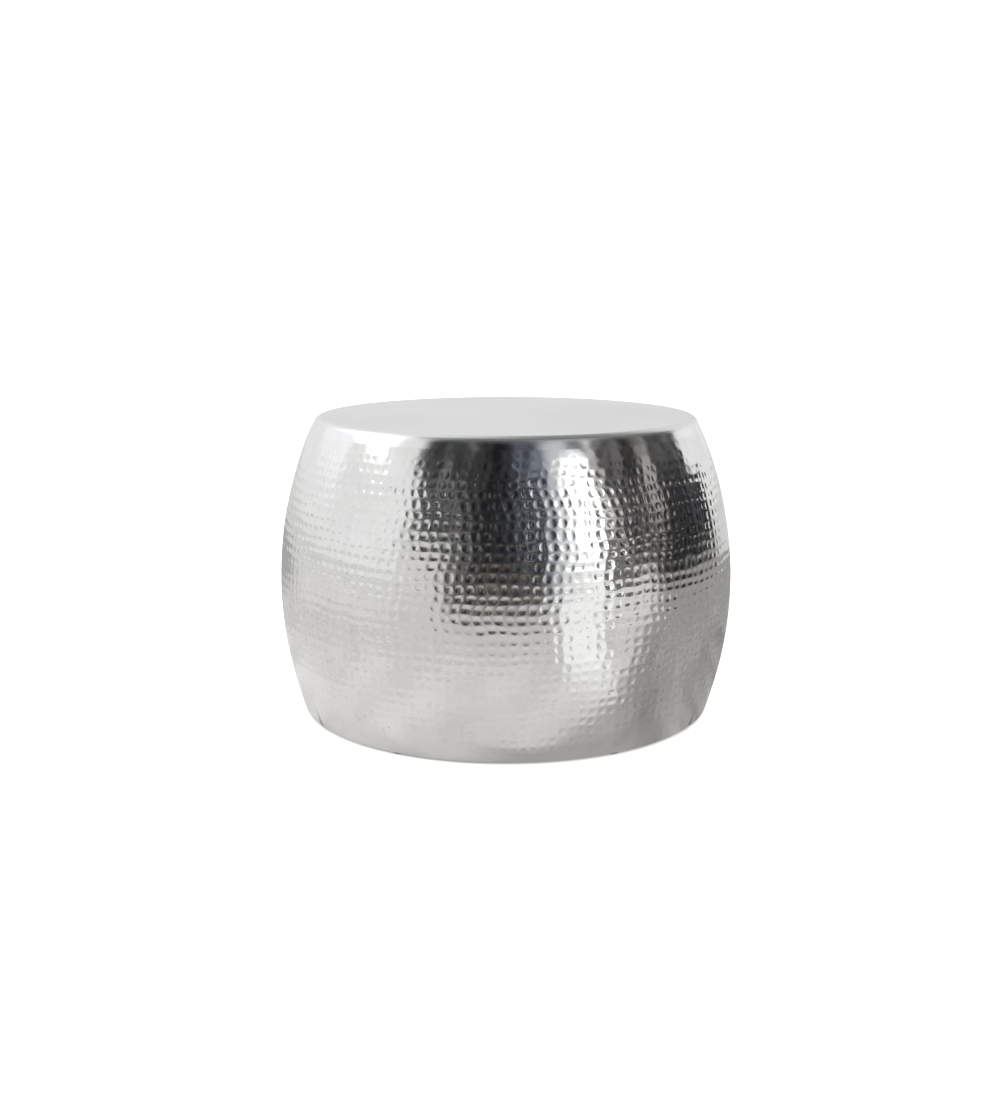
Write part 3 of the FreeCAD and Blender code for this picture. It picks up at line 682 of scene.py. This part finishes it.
def bend_to_barrel(sheet, azimuth, skin_verts):
    """Bend the flat sheet to its third of the barrel, with its swells, creased hem and open seam feet."""
    seam = sheet.verts.layers.float["seam"]
    for vert in sheet.verts:
        column, row, depth = vert.co
        radius, height, across, up = stave_section(row)
        turn = azimuth + STAVE_TURN * (column / DIMPLE_COLUMNS - 0.5)
        side = Vector((math.cos(turn), math.sin(turn), 0))
        outward = side * across + Vector((0, 0, up))
        place = side * radius + Vector((0, 0, height))
        if vert not in skin_verts:
            depth += hollow_depth(place, column, row)
            if row > FLANGE_ROWS:
                vert[seam] = seam_share(column, radius, height)
                depth += SEAM_DEPTH * vert[seam]
        vert.co = place - outward * depth


def smooth_object(name, shape, material):
    """An object that is shaded smooth except at its sharp edges."""
    for face in shape.faces:
        face.smooth = True
    thing = linked_object(name, shape, material)
    thing.data.set_sharp_from_angle(angle=SHARP_ANGLE)
    return thing


def hammered_stave(name, azimuth, material, seed):
    """A closed stave of two skins, hammered flat and then bent to the barrel."""
    draw = random.Random(seed)
    sheet = flat_sheet(draw, seed)
    cells = [face for face in sheet.faces if face.calc_center_median().y > hem_row + CELL_MARGIN]
    blows = hammer_blows(cells, draw)
    saddles = cut_cell_edges(sheet, cells)
    skin_verts = inner_skin(sheet)
    beat_dishes(sheet, cells, blows, saddles, draw)
    rims = [edge for edge in sheet.edges if edge.is_boundary]
    bmesh.ops.bridge_loops(sheet, edges=rims)
    bend_to_barrel(sheet, azimuth, skin_verts)
    bmesh.ops.recalc_face_normals(sheet, faces=sheet.faces)
    return smooth_object(name, sheet, material)


HAMMERED_FINISH = {
    "colours": ((0.895, 0.895, 0.89, 1), (0.845, 0.845, 0.84, 1)),
    "roughness": (0.085, 0.14),
    "relief": 0.00003,
    "patches": (11, 11, 16),
    "lines": (260, 260, 260),
}
RIDGE_ROUGHNESS = 1.3
RIDGE_EDGE = 0.12
INSIDE_ROUGHNESS = 0.36
FLECK_SPREAD = (0.4, 0.65)
PATINA_COLOUR = (0.79, 0.78, 0.765, 1)
SEAM_SHADE_COLOUR = (0.09, 0.09, 0.09, 1)
SEAM_NARROWING = 2.0
WEAR_SPREAD = (0.35, 0.68)
WEAR_DETAIL = 3.0
LINE_DETAIL = 2.0

worn_surface = bpy.data.node_groups.new("worn_surface", "ShaderNodeTree")
for place_name in ("Patch Place", "Line Place"):
    worn_surface.interface.new_socket(place_name, in_out="INPUT", socket_type="NodeSocketVector")
for mask_name in ("Patches", "Lines"):
    worn_surface.interface.new_socket(mask_name, in_out="OUTPUT", socket_type="NodeSocketFloat")
wear_inputs = add_node(worn_surface, "NodeGroupInput")
wear_patches = add_node(worn_surface, "ShaderNodeTexNoise", {
    "Vector": wear_inputs.outputs["Patch Place"], "Scale": 1.0, "Detail": WEAR_DETAIL})
wear_lines = add_node(worn_surface, "ShaderNodeTexNoise", {
    "Vector": wear_inputs.outputs["Line Place"], "Scale": 1.0, "Detail": LINE_DETAIL})
add_node(worn_surface, "NodeGroupOutput", {
    "Patches": span(worn_surface, wear_patches.outputs[0], WEAR_SPREAD, (0, 1)),
    "Lines": wear_lines.outputs[0]})


def turned_lines(tree, fineness):
    """Coordinates whose noise is lines round the drum's axis, as a lathe or a rolling mill leaves them."""
    place = object_place(tree)
    flat = add_node(tree, "ShaderNodeVectorMath", {0: place, 1: (1, 1, 0)}, operation="MULTIPLY")
    radius = add_node(tree, "ShaderNodeVectorMath", {0: flat.outputs[0]}, operation="LENGTH")
    height = add_node(tree, "ShaderNodeSeparateXYZ", {0: place})
    inputs = {"X": calculate(tree, "MULTIPLY", radius.outputs["Value"], fineness),
              "Y": calculate(tree, "MULTIPLY", height.outputs["Z"], fineness)}
    return add_node(tree, "ShaderNodeCombineXYZ", inputs).outputs[0]


def mix_colours(tree, share, first, second):
    """One colour, turned to another by a share."""
    inputs = {"Factor": share, "A": first, "B": second}
    return add_node(tree, "ShaderNodeMix", inputs, data_type="RGBA").outputs["Result"]


def worn_material(name, colours, roughness, relief, patches, lines):
    """A material whose colour and roughness drift in patches, with fine lines of a given relief.

    The lines are stretched along the axes, or run round the drum where one number gives their fineness.
    """
    material = bpy.data.materials.new(name)
    material.use_nodes = True
    tree = material.node_tree
    principled = tree.nodes["Principled BSDF"]
    line_place = turned_lines(tree, lines) if isinstance(lines, int) else object_place(tree, lines)
    places = {"Patch Place": object_place(tree, patches), "Line Place": line_place}
    wear = add_node(tree, "ShaderNodeGroup", places, node_tree=worn_surface)
    patch_share = wear.outputs["Patches"]
    bump = add_node(tree, "ShaderNodeBump", {"Height": wear.outputs["Lines"], "Distance": relief})
    tree.links.new(mix_colours(tree, patch_share, *colours), principled.inputs["Base Color"])
    tree.links.new(span(tree, patch_share, (0, 1), roughness), principled.inputs["Roughness"])
    tree.links.new(bump.outputs["Normal"], principled.inputs["Normal"])
    return material, principled, wear


def metal(name, **finish):
    """A worn material that is metal all over."""
    material, principled, wear = worn_material(name, **finish)
    principled.inputs["Metallic"].default_value = 1.0
    return material, principled, wear


def attribute(tree, name):
    """A value that the mesh carries at its vertices."""
    return add_node(tree, "ShaderNodeAttribute", attribute_name=name).outputs["Fac"]


def source(shader, socket_name):
    """What feeds a shader's socket so far, to be worked on further."""
    return shader.inputs[socket_name].links[0].from_socket


hammered, hammered_shader, hammered_wear = metal("hammered_aluminium", **HAMMERED_FINISH)
hammered_tree = hammered.node_tree
ridge_share = span(hammered_tree, attribute(hammered_tree, "dish"), (0, RIDGE_EDGE), (RIDGE_ROUGHNESS, 1))
outer_roughness = calculate(hammered_tree, "MULTIPLY", source(hammered_shader, "Roughness"), ridge_share)
inner_share = attribute(hammered_tree, "inside")
sheet_roughness = calculate(hammered_tree, "MULTIPLY_ADD", inner_share, INSIDE_ROUGHNESS, outer_roughness)
hammered_tree.links.new(sheet_roughness, hammered_shader.inputs["Roughness"])
patina_flecks = span(hammered_tree, hammered_wear.outputs["Lines"], FLECK_SPREAD, (0.0, 1.0))
patina_share = calculate(hammered_tree, "MULTIPLY", attribute(hammered_tree, "patina"), patina_flecks)
patch_tint = source(hammered_shader, "Base Color")
patina_tint = mix_colours(hammered_tree, patina_share, patch_tint, PATINA_COLOUR)
# The open foot of each seam is tinted near black, besides its shallow groove: painted shade of the gap in
# the unfilled weld.
seam_shade_line = calculate(hammered_tree, "POWER", attribute(hammered_tree, "seam"), SEAM_NARROWING)
seam_shade_tint = mix_colours(hammered_tree, seam_shade_line, patina_tint, SEAM_SHADE_COLOUR)
hammered_tree.links.new(seam_shade_tint, hammered_shader.inputs["Base Color"])

for seed, (side_name, side_azimuth) in enumerate(STAVE_AZIMUTHS.items(), start=FIRST_SEED):
    panel = hammered_stave("hammered_panel_" + side_name, math.radians(side_azimuth), hammered, seed)
    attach(panel, "root")
    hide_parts("shell_panel_" + side_name)

# Seam strips
# Strips of dull sheet aluminium, spot welded up the inside of the three seams, one behind each weld.
# The mill's rolling lines run up the strips.
MILL_FINISH = {
    "colours": ((0.72, 0.72, 0.71, 1), (0.60, 0.60, 0.59, 1)),
    "roughness": (0.32, 0.46),
    "relief": 0.00004,
    "patches": (25, 25, 9),
    "lines": (700, 700, 8),
}


def dress(node_name, material):
    """Give a CAD node its finish."""
    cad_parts[node_name].material_slots[0].material = material


strip_metal, _, _ = metal("mill_strip", **MILL_FINISH)
for strip_side in ("right", "back", "left"):
    dress("seam_strip_" + strip_side, strip_metal)

# Support ring
# Aluminium angle rolled to a ring and spot welded behind the joint of the top and the panels.
# Its shelf carries the board, and its rolling lines run round it.
RING_FINISH = {**MILL_FINISH, "patches": (14, 14, 60), "lines": 900}

ring_metal, _, _ = metal("mill_ring", **RING_FINISH)
dress("support_ring", ring_metal)

# Backing board
# A disc of raw fibreboard glued under the top, which stops the thin sheet from ringing and denting.
# Its face shows short pressed fibres and soft brown mottling.
BOARD_FINISH = {
    "colours": ((0.50, 0.365, 0.235, 1), (0.41, 0.29, 0.18, 1)),
    "roughness": (0.72, 0.88),
    "relief": 0.00010,
    "patches": (70, 45, 70),
    "lines": (650, 420, 650),
}

fibreboard, _, _ = worn_material("fibreboard", **BOARD_FINISH)
dress("backing_board", fibreboard)

# Board screws
# Zinc-plated pan-head screws, driven up through the ring's shelf into the board.
# The plating is bright with faint cloudy passivation.
ZINC_FINISH = {
    "colours": ((0.68, 0.675, 0.65, 1), (0.55, 0.54, 0.49, 1)),
    "roughness": (0.29, 0.42),
    "relief": 0.00001,
    "patches": (220, 220, 220),
    "lines": (2200, 2200, 2200),
}

zinc, _, _ = metal("zinc_steel", **ZINC_FINISH)
dress("board_screws", zinc)

# Top plate
# A pan of 2 mm aluminium spun on a lathe, with a flat satin face, a polished round rim and a short skirt.
# The face has a thin haze of oxide. The skirt's edge is welded to the panels and ground flush.
RIM_RADIUS = 0.010
RIM_STEPS = 12
SKIRT_STEPS = 3
LATHE_STEPS = 192
WELD_DISTANCE = 1e-6
SATIN_FINISH = {
    "colours": ((0.91, 0.915, 0.92, 1), (0.885, 0.89, 0.895, 1)),
    "roughness": (0.96, 1.06),
    "relief": 0.0000008,
    "patches": (7, 7, 7),
    "lines": 200,
}
RIM_ROUGHNESS = 0.13
FACE_ROUGHNESS = 0.40
FACE_METALLIC = 0.80

top_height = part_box("top_plate")[1].z
rim_height = top_height - RIM_RADIUS
rim_angle = math.asin((rim_height - BELLY_HEIGHT) / (BARREL_ARC - RIM_RADIUS))
rim_radius_place = arc_radius_offset + (BARREL_ARC - RIM_RADIUS) * math.cos(rim_angle)


def last_vert(spun):
    """The vertex that a spun point ends at."""
    return next(part for part in spun["geom_last"] if isinstance(part, bmesh.types.BMVert))


def lathe_section(shape, face_height):
    """One face of the pan in half section, from the axis out to the skirt's edge."""
    axis_end = shape.verts.new((0, 0, face_height))
    rim_start = shape.verts.new((rim_radius_place, 0, face_height))
    shape.edges.new((axis_end, rim_start))
    rim = bmesh.ops.spin(shape, geom=[rim_start], axis=(0, 1, 0), cent=(rim_radius_place, 0, rim_height),
                         angle=math.pi / 2 - rim_angle, steps=RIM_STEPS)
    skirt = bmesh.ops.spin(shape, geom=[last_vert(rim)], axis=(0, 1, 0),
                           cent=(arc_radius_offset, 0, BELLY_HEIGHT),
                           angle=rim_angle - high_angle, steps=SKIRT_STEPS)
    return last_vert(skirt)


pan = bmesh.new()
outer_edge = lathe_section(pan, top_height)
inner_edge = lathe_section(pan, top_height - SHEET)
pan.edges.new((outer_edge, inner_edge))
bmesh.ops.spin(pan, geom=pan.verts[:] + pan.edges[:], axis=(0, 0, 1), cent=(0, 0, 0),
               angle=2 * math.pi, steps=LATHE_STEPS, use_merge=True)
bmesh.ops.remove_doubles(pan, verts=pan.verts, dist=WELD_DISTANCE)
bmesh.ops.recalc_face_normals(pan, faces=pan.faces)
for vert in pan.verts:
    from_axis = Vector((vert.co.x, vert.co.y, 0))
    in_section = Vector((from_axis.length - arc_radius_offset, vert.co.z - BELLY_HEIGHT))
    down_skirt = (rim_angle - math.atan2(in_section.y, in_section.x)) / (rim_angle - high_angle)
    if down_skirt > 0 and in_section.length > BARREL_ARC - SHEET / 2:
        outward = from_axis.normalized() * in_section.x + Vector((0, 0, in_section.y))
        vert.co -= outward.normalized() * down_skirt * beaten_swell(vert.co, near_top=1.0)

satin, satin_shader, _ = metal("polished_aluminium", **SATIN_FINISH)
satin_tree = satin.node_tree
rim_range = (rim_height, top_height)
rim_polish = ramp(satin_tree, "DOT_PRODUCT", UP, rim_range, (RIM_ROUGHNESS, FACE_ROUGHNESS))
satin_roughness = calculate(satin_tree, "MULTIPLY", source(satin_shader, "Roughness"), rim_polish)
satin_tree.links.new(satin_roughness, satin_shader.inputs["Roughness"])
oxide_haze = ramp(satin_tree, "DOT_PRODUCT", UP, rim_range, (1, FACE_METALLIC))
satin_tree.links.new(oxide_haze, satin_shader.inputs["Metallic"])
top_pan = smooth_object("spun_top", pan, satin)
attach(top_pan, "root")
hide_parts("top_plate")

# Base ring
# A ring of raw plywood that lies on the turned-in flange and ties the feet of the panels together.
# Pale plies and darker end-grain plies alternate up its edges, with a pale ply on both faces.
PLY_FINISH = {
    "colours": ((0.60, 0.45, 0.28, 1), (0.50, 0.36, 0.22, 1)),
    "roughness": (0.62, 0.78),
    "relief": 0.00008,
    "patches": (6, 48, 48),
    "lines": (24, 420, 420),
}
END_GRAIN_COLOUR = (0.33, 0.22, 0.125, 1)
END_GRAIN_PLIES = 4
PLY_EDGE = 0.15

plywood, plywood_shader, _ = worn_material("plywood", **PLY_FINISH)
plywood_tree = plywood.node_tree
ring_low, ring_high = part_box("base_ring")
ply_turn = 2 * math.pi * END_GRAIN_PLIES / (ring_high.z - ring_low.z)
ply_place = add_node(plywood_tree, "ShaderNodeSeparateXYZ", {0: object_place(plywood_tree)})
ply_height = ply_place.outputs["Z"]
ply_phase = calculate(plywood_tree, "MULTIPLY_ADD", ply_height, ply_turn, -ply_turn * ring_low.z)
ply_wave = calculate(plywood_tree, "COSINE", ply_phase)
end_grain = span(plywood_tree, ply_wave, (PLY_EDGE, -PLY_EDGE), (0, 1))
ply_tint = mix_colours(plywood_tree, end_grain, source(plywood_shader, "Base Color"), END_GRAIN_COLOUR)
plywood_tree.links.new(ply_tint, plywood_shader.inputs["Base Color"])
dress("base_ring", plywood)

# Base screws
# Countersunk screws, driven up through the flange into the base ring, flush with the flange.
# They are zinc plated as the board screws are.
dress("base_screws", zinc)

# Felt pads
# Pads of pressed dark felt, glued under the flange, which keep the metal off the floor.
# Their fibres lie at random and catch a little light at the edge.
FELT_FINISH = {
    "colours": ((0.085, 0.085, 0.088, 1), (0.05, 0.05, 0.052, 1)),
    "roughness": (0.88, 1.0),
    "relief": 0.0005,
    "patches": (300, 300, 300),
    "lines": (1500, 1500, 1500),
}
FELT_SHEEN = 0.35

felt, felt_shader, _ = worn_material("felt", **FELT_FINISH)
felt_shader.inputs["Sheen Weight"].default_value = FELT_SHEEN
dress("felt_pads", felt)
